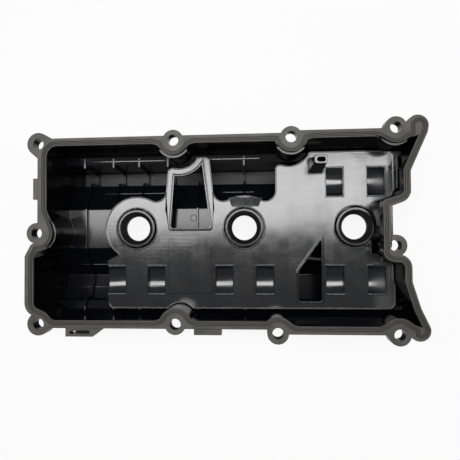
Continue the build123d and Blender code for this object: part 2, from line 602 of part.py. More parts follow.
# ---- cover: outer side -----------------------------------------------------
coil_screws = [(x + COIL_SCREW[0], y + COIL_SCREW[1]) for x, y in PLUGS]
coil_bosses = slab(discs(coil_screws, SCREW_BOSS_R), VALLEY_Z - OVERLAP, COIL_BOSS_BOTTOM_Z)
hexagon = RegularPolygon(INSERT_HEX / 2, 6, major_radius=False)
insert_seats = slab(
    Sketch() + [Pos(*p) * hexagon for p in coil_screws],
    COIL_BOSS_BOTTOM_Z + INSERT_H,
    COIL_BOSS_BOTTOM_Z,
)
post_plan = Sketch() + [
    Pos(x, EXHAUST_CROWN_Y) * (Rectangle(POST_W, POST_RIB_T) + Rectangle(POST_RIB_T, POST_W))
    for x in (PLUG_X[0] + POST_FROM_PLUG[0], PLUG_X[2] + POST_FROM_PLUG[1])
]
posts = slab(post_plan, EXHAUST_CROWN_Z - OVERLAP, BOTTOM_Z)
nipple_at = (PLUG_X[1] + NIPPLE_FROM_PLUG_2, 0.0)
nipple_end_z = VALLEY_Z - WALL - NIPPLE_L
nipple = slab(disc(nipple_at, NIPPLE_R), VALLEY_Z - OVERLAP, nipple_end_z)
nipple_bore = slab(disc(nipple_at, NIPPLE_BORE_R), VALLEY_Z + RIB_H + OVERLAP, nipple_end_z)
stiffener_plan = Sketch() + [
    Pos(x + STIFFENER_FROM_PLUG, sum(VALLEY_Y) / 2)
    * Rectangle(STIFFENER_T, VALLEY_Y[1] - VALLEY_Y[0] + STIFFENER_W)
    for x in PLUG_X[:2]
]
stiffeners = slab(stiffener_plan, VALLEY_Z - OVERLAP, VALLEY_Z - WALL - STIFFENER_H)

# ---- cover: clip brackets outside the flange -------------------------------
edge = BOTTOM_Y - FLANGE_W
x0, x1 = [LEFT_X + x for x in LONG_BRACKET_FROM_END]
long_plan = polygon(
    (x0, edge + OVERLAP),
    (x0, edge - LONG_BRACKET_OUT),
    (x1, edge - LONG_BRACKET_OUT),
    (x1 + LONG_BRACKET_GUSSET, edge),
    (x1 + LONG_BRACKET_GUSSET, edge + OVERLAP),
)
middle_y = edge - LONG_BRACKET_OUT / 2
slot_x, slot_l, slot_w = BRACKET_SLOT
recess_x, recess_l, recess_w, recess_d = BRACKET_RECESS
long_slot = Pos(x0 + slot_x, middle_y) * Rectangle(slot_l, slot_w)
long_recess = Pos(x0 + recess_x, middle_y) * Rectangle(recess_l, recess_w)
x2, x3 = SHORT_BRACKET_X
short_plan = Pos((x2 + x3) / 2, edge + (OVERLAP - SHORT_BRACKET_OUT) / 2) * Rectangle(
    x3 - x2, SHORT_BRACKET_OUT + OVERLAP
)
y0, y1 = END_BRACKET_Y
end_plan = Pos(LEFT_X - FLANGE_W + (OVERLAP - END_BRACKET_OUT) / 2, (y0 + y1) / 2) * Rectangle(
    END_BRACKET_OUT + OVERLAP, y1 - y0
)
bracket_plan = (long_plan - long_slot) + short_plan + end_plan
brackets = slab(bracket_plan, -BRACKET_SINK, -BRACKET_SINK - BRACKET_T)
brackets -= slab(long_recess, -BRACKET_SINK, -BRACKET_SINK - recess_d)

# ---- gasket groove and gasket ----------------------------------------------
def band(inner, width):
    """A ring of the given width that starts inner mm outside the inner edge."""
    return grow(cavity_plan, inner + width) - grow(cavity_plan, inner)


groove_in = (FLANGE_W + FLANGE_SHIFT - GROOVE_W) / 2
groove = slab(band(groove_in, GROOVE_W), 0.0, -GROOVE_D)
gasket = slab(
    band(groove_in + GASKET_SIDE_GAP, GROOVE_W - 2 * GASKET_SIDE_GAP),
    GASKET_H - GROOVE_D,
    -GROOVE_D,
)
bolt_holes = slab(discs(BOLTS.values(), BOLT_HOLE_R), 0.0, -FLANGE_T)

cover = outside + flange + wells + coil_bosses + posts + nipple + stiffeners + brackets
cover = (cover - room) + chamber + land + ribs + (wells & room)
cover = cover - well_bores - groove - bolt_holes - insert_seats - nipple_bore

# ---- baffle plate ----------------------------------------------------------
spout_at = (PLUG_X[2] + SPOUT_FROM_PLUG_3[0], SPOUT_FROM_PLUG_3[1])
spout_ends = []
for z, (w, d) in ((PLATE_Z, SPOUT_BASE), (SPOUT_TOP_Z, SPOUT_TIP)):
    outline = Rectangle(w, d)
    spout_ends.append(Pos(*spout_at, z) * chamfer(outline.vertices(), SPOUT_CORNER))
baffle = slab(plate_plan, PLATE_Z, PLATE_BACK_Z) + (lobe_backs & slab(plate_plan, 0, -DEEP))
baffle += slab(window_outlines(WINDOW_RIM_W), PLATE_Z + WINDOW_RIM_H, PLATE_Z)
baffle += loft(spout_ends, ruled=True)
baffle -= lobe_cuts
baffle -= slab(window_plan, 0.0, -DEEP)
baffle -= slab(discs(PLUGS, WELL_R + PLATE_WELL_GAP), 0.0, -DEEP)
baffle -= slab(Pos(*spout_at) * SlotOverall(*SPOUT_SLOT), SPOUT_TOP_Z, -DEEP)

# ---- plug tube seals -------------------------------------------------------
seal_top = WELL_TOP_Z - SEAL_SINK
seal_r = SEAL_R - SEAL_GAP
lip_z = seal_top - SEAL_LIP_SINK
seal_profile = polygon(
    (seal_r, seal_top),
    (seal_r, seal_top - SEAL_H),
    (SEAL_LIP_R, seal_top - SEAL_H),
    (SEAL_LIP_R, lip_z),
)
seal = revolve(Plane.XZ * seal_profile, Axis.Z)
seals = Part() + [Pos(x, y, 0) * seal for x, y in PLUGS]

# ---- brass inserts ---------------------------------------------------------
insert_plan = grow(hexagon, -INSERT_GAP) - Circle(INSERT_BORE_R)
inserts = slab(
    Sketch() + [Pos(*p) * insert_plan for p in coil_screws],
    COIL_BOSS_BOTTOM_Z + INSERT_H,
    COIL_BOSS_BOTTOM_Z,
)

# ---- lay the cover down and write the pieces -------------------------------
box = cover.bounding_box()
rest = Pos(-box.center().X, -box.center().Y, -box.min.Z)
pieces = {
    "cover": cover,
    "baffle_plate": baffle,
    "perimeter_gasket": gasket,
    "plug_tube_seals": seals,
    "brass_inserts": inserts,
}
os.makedirs("parts", exist_ok=True)
for node, solid in pieces.items():
    export_step(rest * solid, f"parts/{node}.step")
print("middle plug tube at", tuple(round(v, 4) for v in rest.position))
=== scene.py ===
# %% [markdown]
# # Valve cover, seen from the gasket side
# The packed CAD model is loaded as a fixed frame: five kinds of piece, each in
# its place. This notebook dresses them. It gives each piece its finish, adds the
# small forms that moulded nylon and rubber have, and sets up a light table with
# one camera. Lengths are in metres, and MM turns millimetres into them.

# %% Load the frame
from math import atan2, cos, degrees, pi, radians, sin

import bpy
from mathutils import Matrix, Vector


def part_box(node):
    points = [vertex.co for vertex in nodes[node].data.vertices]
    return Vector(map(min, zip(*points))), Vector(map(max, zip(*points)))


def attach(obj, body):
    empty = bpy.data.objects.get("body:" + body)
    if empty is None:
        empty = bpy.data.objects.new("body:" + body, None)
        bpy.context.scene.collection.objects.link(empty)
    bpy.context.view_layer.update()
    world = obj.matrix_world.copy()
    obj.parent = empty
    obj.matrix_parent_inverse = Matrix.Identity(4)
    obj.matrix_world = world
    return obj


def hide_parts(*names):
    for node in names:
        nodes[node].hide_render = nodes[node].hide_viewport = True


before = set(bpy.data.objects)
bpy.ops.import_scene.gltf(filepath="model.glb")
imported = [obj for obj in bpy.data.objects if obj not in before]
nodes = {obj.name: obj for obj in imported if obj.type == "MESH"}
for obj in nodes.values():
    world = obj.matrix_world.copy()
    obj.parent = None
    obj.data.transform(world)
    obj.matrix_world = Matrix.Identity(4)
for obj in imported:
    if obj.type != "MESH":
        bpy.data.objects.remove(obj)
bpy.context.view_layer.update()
scene = bpy.context.scene
MM = 0.001

# %% [markdown]
# ## Where things are
# A valve cover is laid out from its spark plug tubes and its gasket face, so
# places below are given in millimetres from the middle plug tube at that face.
# One function turns such a place into the frame's own metres.

# %% The middle plug tube
TUBE = Vector((20.8193, 4.207, 77.0)) * MM
FLANGE_Z = TUBE.z           # the gasket face
PLATE_Z = 50.0 * MM         # the top of the baffle


def spot(x, y, z=0.0):
    """A place given in mm from the middle plug tube at the gasket face."""
    return TUBE + Vector((x, y, z)) * MM


print("tube at", [round(c / MM, 2) for c in TUBE], "mm")

# %% [markdown]
# ## Camera
# The cover is looked at from 35 cm above its gasket face, with a lens of about
# 30 mm. That is near for so large a part, so the walls open up towards the
# edges of the frame. The camera is turned a few degrees from
# straight down. It is placed by numbers and not by a constraint, so that
# nothing moves it later.

# %% Camera
camera_data = bpy.data.cameras.new("camera")
camera_data.lens = 29.74
camera_data.sensor_width = 36.0
camera = bpy.data.objects.new("camera", camera_data)
camera.location = spot(9.9, -10.4, 348.5)
camera.rotation_euler = [radians(turn) for turn in (1.22, 3.66, -0.44)]
scene.collection.objects.link(camera)
scene.camera = camera
print("camera at", [round(c, 3) for c in camera.location], "lens", camera_data.lens)

# %% [markdown]
# ## Shader maths
# Masks such as "everything above this height" are sums and products of sockets.
# They could be wired by hand, node after node. A small class wraps a socket
# instead, so that a mask is written as an ordinary expression, and each
# operation adds its Math node.

# %% Sockets as numbers
class Maths:
    """A socket of a node tree that can be added, multiplied and divided."""

    def __init__(self, tree, socket):
        self.tree, self.socket = tree, socket

    def _do(self, operation, a, b=None, clamp=False):
        node = self.tree.nodes.new("ShaderNodeMath")
        node.operation, node.use_clamp = operation, clamp
        for slot, value in zip(node.inputs, (a, b)):
            if isinstance(value, Maths):
                self.tree.links.new(value.socket, slot)
            elif value is not None:
                slot.default_value = value
        return Maths(self.tree, node.outputs[0])

    def __add__(self, other): return self._do("ADD", self, other)
    def __radd__(self, other): return self._do("ADD", other, self)
    def __sub__(self, other): return self._do("SUBTRACT", self, other)
    def __rsub__(self, other): return self._do("SUBTRACT", other, self)
    def __mul__(self, other): return self._do("MULTIPLY", self, other)
    def __rmul__(self, other): return self._do("MULTIPLY", other, self)
    def __truediv__(self, other): return self._do("DIVIDE", self, other)
    def clamp(self): return self._do("ADD", self, 0.0, clamp=True)
    def wave(self): return self._do("SINE", self)


print("a socket also knows", [name for name in vars(Maths) if not name.startswith("_")])

# %% [markdown]
# ## Nodes
# All other nodes come from one method. It takes the kind of node, its settings,
# the values or links of its sockets, and the output that is wanted. The same
# class serves the materials and the world.

# %% One way to add a node
class Nodes:
    """A node tree and one method that adds to it."""

    def __init__(self, tree):
        self.tree = tree

    def fill(self, slot, value):
        """Links a socket to a slot, or writes a number or a colour in it."""
        if isinstance(value, Maths):
            self.tree.links.new(value.socket, slot)
        elif slot.type == "RGBA":
            slot.default_value = (*value, 1.0)
        else:
            slot.default_value = value

    def node(self, kind, inputs=None, settings=None, output=0):
        """Adds a node, sets it up and returns one of its outputs."""
        made = self.tree.nodes.new("ShaderNode" + kind)
        for name, value in (settings or {}).items():
            setattr(made, name, value)
        for name, value in (inputs or {}).items():
            self.fill(made.inputs[name], value)
        return Maths(self.tree, made.outputs[output])


print("a tree has", [name for name in vars(Nodes) if not name.startswith("_")])

# %% [markdown]
# ## Finishes
# A finish is a material with a Principled shader. Its patterns read Object
# coordinates, which stay with the piece from whatever side it is seen. A Mix
# node carries colours, because a Math node would turn them grey. A Bevel node
# feeds the bump, so that every moulded edge catches a thin line of light.

# %% A finish
MIX_FACTOR, MIX_FIRST, MIX_SECOND, MIX_COLOR = 0, 6, 7, 2    # a Mix node's colour sockets


class Finish(Nodes):
    """A new material: its tree, its main shader and its usual patterns."""

    def __init__(self, name, color, roughness, **constants):
        self.material = bpy.data.materials.new(name)
        self.material.use_nodes = True
        super().__init__(self.material.node_tree)
        self.shader = self.tree.nodes["Principled BSDF"]
        self.set("Base Color", color)
        self.set("Roughness", roughness)
        for socket, value in constants.items():
            self.set(socket.replace("_", " "), value)

    def set(self, socket, value):
        self.fill(self.shader.inputs[socket], value)

    def place(self, scale=(1, 1, 1)):
        """Object coordinates, stretched."""
        where = self.node("TexCoord", output="Object")
        return self.node("Mapping", {"Vector": where, "Scale": scale})

    def axes(self):
        """X, Y and Z of the Object coordinates, in metres."""
        where = self.node("TexCoord", output="Object")
        split = self.node("SeparateXYZ", {0: where}).socket.node
        return [Maths(self.tree, out) for out in split.outputs]

    def noise(self, where, scale, detail=2.0, roughness=0.5, distortion=0.0):
        return self.node("TexNoise", {
            "Vector": where, "Scale": scale, "Detail": detail,
            "Roughness": roughness, "Distortion": distortion}, output="Fac")

    def mix(self, factor, first, second):
        """A colour between two, by a factor."""
        return self.node("Mix", {MIX_FACTOR: factor, MIX_FIRST: first, MIX_SECOND: second},
                         {"data_type": "RGBA"}, MIX_COLOR)

    def bump(self, height, depth, edge):
        """Height over a depth in metres, on edges rounded to a radius."""
        rounded = self.node("Bevel", {"Radius": edge}, {"samples": 6})
        self.set("Normal", self.node("Bump", {
            "Height": height, "Distance": depth, "Strength": 1.0, "Normal": rounded}))


print("a finish adds", [name for name in vars(Finish) if not name.startswith("_")])

# %% [markdown]
# ## Black nylon of the cover
# Glass-filled nylon leaves the mould almost black. Where the tool was polished
# it is glossy, the flat ends of the deep humps are duller and a little greyer,
# and the flange, which the gasket presses on, is rubbed to a warm grey satin.
# These could be three materials on three sets of faces. One material with masks
# on the height is easier to keep, because the heights are the part's own.

# %% Nylon of the cover
DEEP_Z, DEEP_FADE = 0.012, 0.006            # duller below this height
CROWN_Z, CROWN_FADE = 0.0044, 0.0008        # greyer below this one
FACE_DROP, FACE_FADE = 0.0012, 0.0004       # satin from just below the gasket face
NYLON_BLACK = (0.003, 0.0033, 0.0045)
CROWN_GREY = (0.015, 0.0155, 0.017)
SATIN_DARK, SATIN_PALE = (0.058, 0.057, 0.052), (0.104, 0.101, 0.092)

nylon = Finish("cover_nylon", NYLON_BLACK, 0.22)
_, _, z = nylon.axes()
# below the gasket face the nylon is black, which also paints shade on the lowered strips beside
# the gasket
face = ((z - (FLANGE_Z - FACE_DROP)) / FACE_FADE).clamp()
deep = ((DEEP_Z - z) / DEEP_FADE).clamp()
crown = ((CROWN_Z - z) / CROWN_FADE).clamp()
cloud = nylon.noise(nylon.place((1, 0.5, 1)), 35.0, detail=3.0)
rub = nylon.noise(nylon.place(), 60.0, detail=4.0, roughness=0.6)
satin = nylon.mix(((rub - 0.35) * 3.0).clamp(), SATIN_DARK, SATIN_PALE)
moulded = nylon.mix(crown, NYLON_BLACK, CROWN_GREY)
nylon.set("Base Color", nylon.mix(face, moulded, satin))
nylon.set("Roughness", 0.12 + 0.06 * cloud + 0.36 * face + 0.42 * deep)
grain = nylon.noise(nylon.place(), 1400.0, detail=1.0)
nylon.bump(grain, 0.02 * MM, edge=0.8 * MM)
print(nylon.material.name, len(nylon.tree.nodes), "nodes")

# %% [markdown]
# ## Rubbed nylon of its edges
# Lips, ridges and pin marks stand proud, so they are handled and wiped more
# than the walls and mirror the lamp as fine bright lines. They get a nylon of
# their own, with a stronger reflection, and no mask is needed.

# %% Rubbed nylon
rubbed = Finish("cover_nylon_rubbed", (0.006, 0.0063, 0.0072), 0.2, Specular_IOR_Level=0.7)
rubbed.set("Roughness", 0.14 + 0.14 * rubbed.noise(rubbed.place(), 160.0, detail=3.0))
print(rubbed.material.name, len(rubbed.tree.nodes), "nodes")

# %% [markdown]
# ## Nylon of the baffle
# The baffle is a thin plate with a polished face. It isn't quite flat, so it
# mirrors the lamp as a soft pool, and oil and wiping leave streaks. A broad
# warp in the bump bends the reflection, noises on the roughness make streaks,
# patches and swirls, and fine dots stand in clouds where the tool was knurled.
# The right end is wiped dull. All of it could be modelled. But dots and swirls
# are hundredths of a millimetre deep, and the warp is a tenth or two over a hand's
# width, which nobody sees from the side, so the bump is the right place.

# %% Roughness of the baffle
END_X, END_FADE_X = 0.143, 0.010            # the dull right end starts here
END_Y, END_FADE_Y = 0.062, 0.020            # and stays on this side

gloss = Finish("baffle_nylon", (0.008, 0.0085, 0.010), 0.2, Specular_IOR_Level=0.9)
streak = gloss.noise(gloss.place((14, 0.9, 1)), 9.0, detail=4.0)
patch = gloss.noise(gloss.place((1.5, 1, 1)), 22.0, detail=3.0, roughness=0.6)
swirl = gloss.noise(gloss.place((1.0, 2.6, 1)), 26.0, detail=5.0, roughness=0.62, distortion=2.2)
x, y, _ = gloss.axes()
right_end = ((x - END_X) / END_FADE_X).clamp() * ((END_Y - y) / END_FADE_Y).clamp()
gloss.set("Roughness", 0.02 + 0.08 * streak + 0.08 * patch + 0.13 * swirl + 0.26 * right_end)
print(gloss.material.name, "roughness from", len(gloss.tree.nodes), "nodes")

# %% Relief of the baffle
DOT_PITCH = 1.9 * MM                        # from dot to dot, on the diagonal
TURN = 2 * pi / (DOT_PITCH * 2 ** 0.5)
WARP_H, SWIRL_H, DOT_H = 0.6 * MM, 0.02 * MM, 0.012 * MM

warp = gloss.noise(gloss.place((1.6, 1, 1)), 16.0)
dots = ((x + y) * TURN).wave() * ((x - y) * TURN).wave()
knurled = ((gloss.noise(gloss.place(), 24.0, detail=0.0) - 0.52) * 12.0).clamp()
gloss.bump(WARP_H * warp + SWIRL_H * swirl + DOT_H * dots * knurled, 1.0, edge=1.0 * MM)
print(gloss.material.name, len(gloss.tree.nodes), "nodes with the bump")

# %% [markdown]
# ## Rubber and brass
# The gasket is a grey rubber with ribs. Its colour is again a mask on the height:
# the rib tops are pale, a painted highlight, and the valleys between them near
# black, painted shade. The seals are plain black rubber, and the inserts turned
# brass, with fine lines round them.

# %% Rubber and brass
CREST_Z, CREST_FADE = 0.0772, 0.0007        # the ribs turn pale above this height
# painted shade for the valleys between the ribs, painted highlight for their tops
VALLEY_SHADE, CREST_HIGHLIGHT = (0.007, 0.007, 0.007), (0.105, 0.102, 0.092)

rubber = Finish("gasket_rubber", (0.052, 0.051, 0.046), 0.5)
_, _, z = rubber.axes()
# the rib tops get a painted highlight, and the valleys get painted shade
rubber.set("Base Color", rubber.mix(((z - CREST_Z) / CREST_FADE).clamp(), VALLEY_SHADE, CREST_HIGHLIGHT))
rubber.bump(rubber.noise(rubber.place(), 900.0), 0.03 * MM, edge=0.2 * MM)
seal_rubber = Finish("seal_rubber", (0.010, 0.010, 0.011), 0.3)
seal_rubber.bump(seal_rubber.noise(seal_rubber.place(), 700.0), 0.02 * MM, edge=0.3 * MM)
brass = Finish("insert_brass", (0.78, 0.58, 0.28), 0.28, Metallic=1.0)
brass.bump(brass.noise(brass.place((1, 1, 12)), 500.0), 0.03 * MM, edge=0.3 * MM)

finishes = {
    "cover": nylon, "baffle_plate": gloss, "perimeter_gasket": rubber,
    "plug_tube_seals": seal_rubber, "brass_inserts": brass,
}
print({node: finish.material.name for node, finish in finishes.items()})

# %% [markdown]
# ## Smooth copies
# The frame's meshes are loose triangles. They stay as they are, and a copy of
# each stands for it, with its doubles merged. Only a merged copy can be shaded
# smooth over its round stretches and sharp over its edges, and be inset.

# %% Copy the nodes
def only(piece):
    """Selects this piece alone."""
    bpy.ops.object.select_all(action="DESELECT")
    piece.select_set(True)
    bpy.context.view_layer.objects.active = piece


def dress(piece, finish):
    """Gives a piece one finish all over."""
    piece.data.materials.clear()
    piece.data.materials.append(finish.material)


def merged_copy(node):
    """A copy of a node that stands for it, with its doubles merged."""
    piece = bpy.data.objects.new(node + "_skin", nodes[node].data.copy())
    scene.collection.objects.link(piece)
    only(piece)
    bpy.ops.object.mode_set(mode="EDIT")
    bpy.ops.mesh.select_all(action="SELECT")
    bpy.ops.mesh.customdata_custom_splitnormals_clear()
    bpy.ops.mesh.remove_doubles(threshold=1e-6)
    bpy.ops.object.mode_set(mode="OBJECT")
    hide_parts(node)
    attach(piece, "root")
    dress(piece, finishes[node])
    return piece


skins = {node: merged_copy(node) for node in finishes}
print({node: len(piece.data.polygons) for node, piece in skins.items()})

# %% [markdown]
# ## Picking faces and points
# By hand one clicks on the faces to work on. A script knows them by their place
# and by the way they face instead. Both helpers leave the piece in edit mode
# with the found elements selected, ready for the next operator.

# %% Pick by place
def pick(piece, kind, elements, test):
    """Enters edit mode with the elements selected that pass a test."""
    only(piece)
    bpy.ops.object.mode_set(mode="EDIT")
    bpy.ops.mesh.select_mode(type=kind)
    bpy.ops.mesh.select_all(action="DESELECT")
    bpy.ops.object.mode_set(mode="OBJECT")
    found = 0
    for element in elements:
        element.select = test(element)
        found += element.select
    bpy.ops.object.mode_set(mode="EDIT")
    return found


def pick_faces(piece, test):
    """Picks faces by a test on their centre and normal."""
    return pick(piece, "FACE", piece.data.polygons, lambda face: test(face.center, face.normal))


def pick_points(piece, test):
    """Picks points by a test on their place in mm from the middle tube."""
    return pick(piece, "VERT", piece.data.vertices, lambda point: test(*((point.co - TUBE) / MM)))


def leave_edit_mode():
    bpy.ops.object.mode_set(mode="OBJECT")


print("faces of the gasket that look up:",
      pick_faces(skins["perimeter_gasket"], lambda centre, normal: normal.z > 0.999))
leave_edit_mode()

# %% [markdown]
# ## Gasket ribs
# The rubber isn't flat on top: three fine ribs run along it, so that a small
# bolt load closes them. A rib could be swept along the whole outline. It is
# easier to inset the top face again and again, and step it down and up, because
# an inset follows any outline by itself.

# %% Ribs
RIB_W = 0.42 * MM           # top of a rib
RIB_STEP = 0.12 * MM        # how far its flank leans
RIB_GAP = 0.86 * MM         # from rib to rib
RIB_H = 1.0 * MM
SHOULDER_W, SHOULDER_H = 0.15 * MM, 0.2 * MM

gasket = skins["perimeter_gasket"]
gasket_top = max(point.co.z for point in gasket.data.vertices)
found = pick_faces(gasket, lambda centre, normal:
                   normal.z > 0.9 and centre.z > gasket_top - 0.1 * MM)
for thickness, depth in (
        (SHOULDER_W, SHOULDER_H), (RIB_W, 0.0), (RIB_STEP, -RIB_H),
        (RIB_GAP - 2 * RIB_STEP, 0.0), (RIB_STEP, RIB_H)):
    bpy.ops.mesh.inset(thickness=thickness, depth=depth)
leave_edit_mode()
print("gasket top faces", found, "now", len(gasket.data.polygons))

# %% [markdown]
# ## The waist
# Beside the third plug tube the flange gives way to the outside by a few
# millimetres, so that the baffle shows all round that tube. Flange and gasket
# move there together, and the move fades out towards both ends. Proportional
# editing would do it by hand. Here a weight on each point says how much it
# moves, and a Displace modifier moves them.

# %% Shift the waist
WAIST_SHIFT = 1.7 * MM
WAIST_X = (144.0, 152.0)                    # mm in the frame
WAIST_ENDS = ((-21.0, -15.0), (22.0, 30.0))
WAIST_FOOT = 66.5


def apply(kind, **settings):
    """Adds a modifier to the active piece and applies it."""
    bpy.ops.object.modifier_add(type=kind)
    added = bpy.context.object.modifiers[-1]
    for key, value in settings.items():
        setattr(added, key, value)
    bpy.ops.object.modifier_apply(modifier=added.name)


def ease(value, low, high):
    """Rises softly from 0 at low to 1 at high."""
    t = min(max((value - low) / (high - low), 0.0), 1.0)
    return t * t * (3 - 2 * t)


for node in ("cover", "perimeter_gasket"):
    piece = skins[node]
    only(piece)
    waist = piece.vertex_groups.new(name="waist")
    for point in piece.data.vertices:
        px, py, pz = point.co / MM
        if WAIST_X[0] < px < WAIST_X[1] and pz > WAIST_FOOT:
            weight = ease(py, *WAIST_ENDS[0]) * (1 - ease(py, *WAIST_ENDS[1]))
            waist.add([point.index], weight, "REPLACE")
    before = [point.co.x for point in piece.data.vertices]
    apply("DISPLACE", direction="X", mid_level=0.0, strength=WAIST_SHIFT, vertex_group="waist")
    piece.vertex_groups.clear()
    moved = sum(point.co.x > x0 for point, x0 in zip(piece.data.vertices, before))
    print(node, "moved", moved)

# %% [markdown]
# ## Lips under the bolt bosses
# Where the inner edge swings round a bolt, the flange stands back a little and
# the wall below it carries a rounded lip, which shows as one bright line. First
# the strip of flange inside the gasket is lowered there. It is found by its
# distance from the bolt and the angle round it. Once it is below the satin of the
# gasket face, the strip takes the black of the nylon. That black is painted shade
# for the dark gap beside the gasket, added to the real shade of the step.

# %% Lowered strips
BOSSES = {                  # bolt axis in mm, clear radius, first and last angle
    "top_1": ((-65.2, 81.5), 15.0, (-145, -35)),
    "top_2": ((44.4, 82.2), 15.0, (-145, -40)),
    "right_top": ((138.0, 88.5), 15.0, (-150, -50)),
    "left_middle": ((-196.5, -4.3), 17.0, (-50, 38)),
}
# the drop takes the strips below the satin mask, so they turn black: painted shade for the gap
# beside the gasket, with the real shade of the step
STRIP_DROP, STRIP_W, STRIP_SLACK = 1.6 * MM, 1.3 * MM, 0.2 * MM


def on_strip(bolt, clear_r, first, last):
    """A test for the faces of the strip round one bolt."""
    def test(centre, normal):
        away = (centre - spot(*bolt)).to_2d()
        turn = degrees(atan2(away.y, away.x))
        beyond = away.length + STRIP_W - clear_r * MM
        return (normal.z > 0.9 and abs(centre.z - FLANGE_Z) < 0.05 * MM
                and first < turn < last and -STRIP_SLACK < beyond < STRIP_W + STRIP_SLACK)
    return test


for name, (bolt, clear_r, ends) in BOSSES.items():
    found = pick_faces(skins["cover"], on_strip(bolt, clear_r, *ends))
    bpy.ops.transform.translate(value=(0, 0, -STRIP_DROP))
    leave_edit_mode()
    print(name, "strip faces", found)

# %% [markdown]
# Then a bead is spun round the bolt axis. A small square, stood on its corner,
# starts at one end of the lip and sweeps to the other. With no window the spin
# turns the other way, so its angle is negative. Four corners are enough, since
# smooth shading makes the bead look round, and its normals are set at the end
# because a spin can turn a shape inside out.

# %% Beads
BEAD_R, BEAD_DEPTH, BEAD_OUT = 0.95 * MM, 2.4 * MM, 0.3 * MM
BEAD_STEPS = 28
ROUND = radians(50)         # edges below this angle are shaded smooth


def new_piece(name, finish):
    """Names what was just made, gives it its finish and its body."""
    piece = bpy.context.object
    piece.name = piece.data.name = name
    dress(piece, finish)
    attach(piece, "root")
    return piece


def face_outwards():
    """Turns all normals of the piece in edit mode to the outside."""
    bpy.ops.mesh.select_all(action="SELECT")
    bpy.ops.mesh.normals_make_consistent(inside=False)


for name, (bolt, clear_r, ends) in BOSSES.items():
    first, last = [radians(end) for end in ends]
    reach = clear_r * MM + BEAD_OUT
    start = Vector((reach * cos(first), reach * sin(first), -BEAD_DEPTH))
    bpy.ops.object.select_all(action="DESELECT")
    bpy.ops.mesh.primitive_circle_add(
        vertices=4, radius=BEAD_R, fill_type="NGON",
        rotation=(pi / 2, pi / 4, first), location=spot(*bolt) + start)
    bpy.ops.object.transform_apply()
    bpy.ops.object.mode_set(mode="EDIT")
    bpy.ops.mesh.select_all(action="SELECT")
    bpy.ops.mesh.spin(steps=BEAD_STEPS, angle=first - last, center=spot(*bolt), axis=(0, 0, 1))
    bpy.ops.mesh.select_all(action="SELECT")
    bpy.ops.mesh.remove_doubles(threshold=1e-6)
    face_outwards()
    leave_edit_mode()
    bead = new_piece("lip_" + name, rubbed)
    bpy.ops.object.shade_smooth_by_angle(angle=ROUND)
    print(bead.name, len(bead.data.polygons), "faces")

# %% [markdown]
# ## Rim of the baffle
# The baffle has a low rim along its outline and round its windows, where the
# tool's edge was relieved. The top is inset once for the rim and once more, a
# little lower, for the field inside it. Beside the oil post the nearest recess
# leaves no room for two rims. So the post is made a little slimmer on its right
# and the recess starts a little later. Where two rims still meet, in the narrow
# arms beside the left window, the smallest steps are merged.

# %% Room beside the oil post
POST_X, POST_Y = (71.0, 79.1), (52.0, 68.0)     # right half of the post
POST_SLIM = 0.8
RECESS_X, RECESS_Y = 79.6, (30.0, 60.0)         # left edge of the recess
RECESS_SHIFT = 0.8 * MM

plate = skins["baffle_plate"]
plate_low = (PLATE_Z - TUBE.z) / MM - 0.1
found_post = pick_points(plate, lambda px, py, pz: (
    POST_X[0] < px < POST_X[1] and POST_Y[0] < py < POST_Y[1] and pz > plate_low))
bpy.ops.transform.resize(value=(POST_SLIM, 1, 1), center_override=spot(POST_X[0], POST_Y[0]))
leave_edit_mode()
found_recess = pick_points(plate, lambda px, py, pz: (
    abs(px - RECESS_X) < 0.05 and RECESS_Y[0] < py < RECESS_Y[1]))
bpy.ops.transform.translate(value=(RECESS_SHIFT, 0, 0))
leave_edit_mode()
print("points moved: post", found_post, "recess", found_recess)

# %% Rim
RIM_W, RIM_STEP, RIM_DROP = 0.8 * MM, 0.25 * MM, 0.35 * MM
found = pick_faces(plate, lambda centre, normal: (
    normal.z > 0.999 and abs(centre.z - PLATE_Z) < 0.01 * MM))
bpy.ops.mesh.inset(thickness=RIM_W, depth=0.0)
bpy.ops.mesh.inset(thickness=RIM_STEP, depth=-RIM_DROP)
bpy.ops.mesh.remove_doubles(threshold=0.4 * MM)
leave_edit_mode()
print("plate top faces", found, "now", len(plate.data.polygons))

# %% [markdown]
# ## Ridges along the humps
# The mould's parting steps leave narrow flat ridges along both humps and along
# the shelf. They could be cut into the cover's mesh, but a bar per ridge is
# simpler and keeps the walls clean. Each one is stretched to its run, rounded,
# leaned a little towards the middle, and set down on the wall below it. The
# wall's height is the middle one of five heights measured from above.

# %% Ridge maker
RIDGE_TILT = 0.06           # radians, towards the middle of the cover
RIDGE_DEPTH = 1.2           # mm
FEEL_AT = (0.1, 0.3, 0.5, 0.7, 0.9)


def surface_height(piece, x, y):
    """How high a piece stands at a place, looking down on it."""
    hit, where, _, _ = piece.ray_cast(Vector((x, y, FLANGE_Z + 0.01)), Vector((0, 0, -1)))
    return where.z if hit else None


def ridge(name, start, end, width, lift, tilt=RIDGE_TILT):
    """A bar on the cover from one place to another, in mm from the middle tube."""
    a, b = spot(*start), spot(*end)
    along, middle = b - a, (a + b) / 2
    heights = sorted(surface_height(skins["cover"], *(a + along * t)[:2]) for t in FEEL_AT)
    top = heights[len(FEEL_AT) // 2] + lift * MM
    bpy.ops.object.select_all(action="DESELECT")
    bpy.ops.mesh.primitive_cube_add(
        size=1.0, location=(middle.x, middle.y, top - RIDGE_DEPTH / 2 * MM),
        rotation=(tilt, 0, atan2(along.y, along.x)),
        scale=(along.length, width * MM, RIDGE_DEPTH * MM))
    bpy.ops.object.transform_apply()
    apply("BEVEL", width=0.25 * MM, segments=2)
    bar = new_piece("ridge_" + name, rubbed)
    bpy.ops.object.shade_smooth_by_angle(angle=ROUND)
    print(bar.name, "height", round(top / MM, 2))


print("valley floor at", round(surface_height(skins["cover"], *spot(-52.7, 10.9)[:2]) / MM, 2))

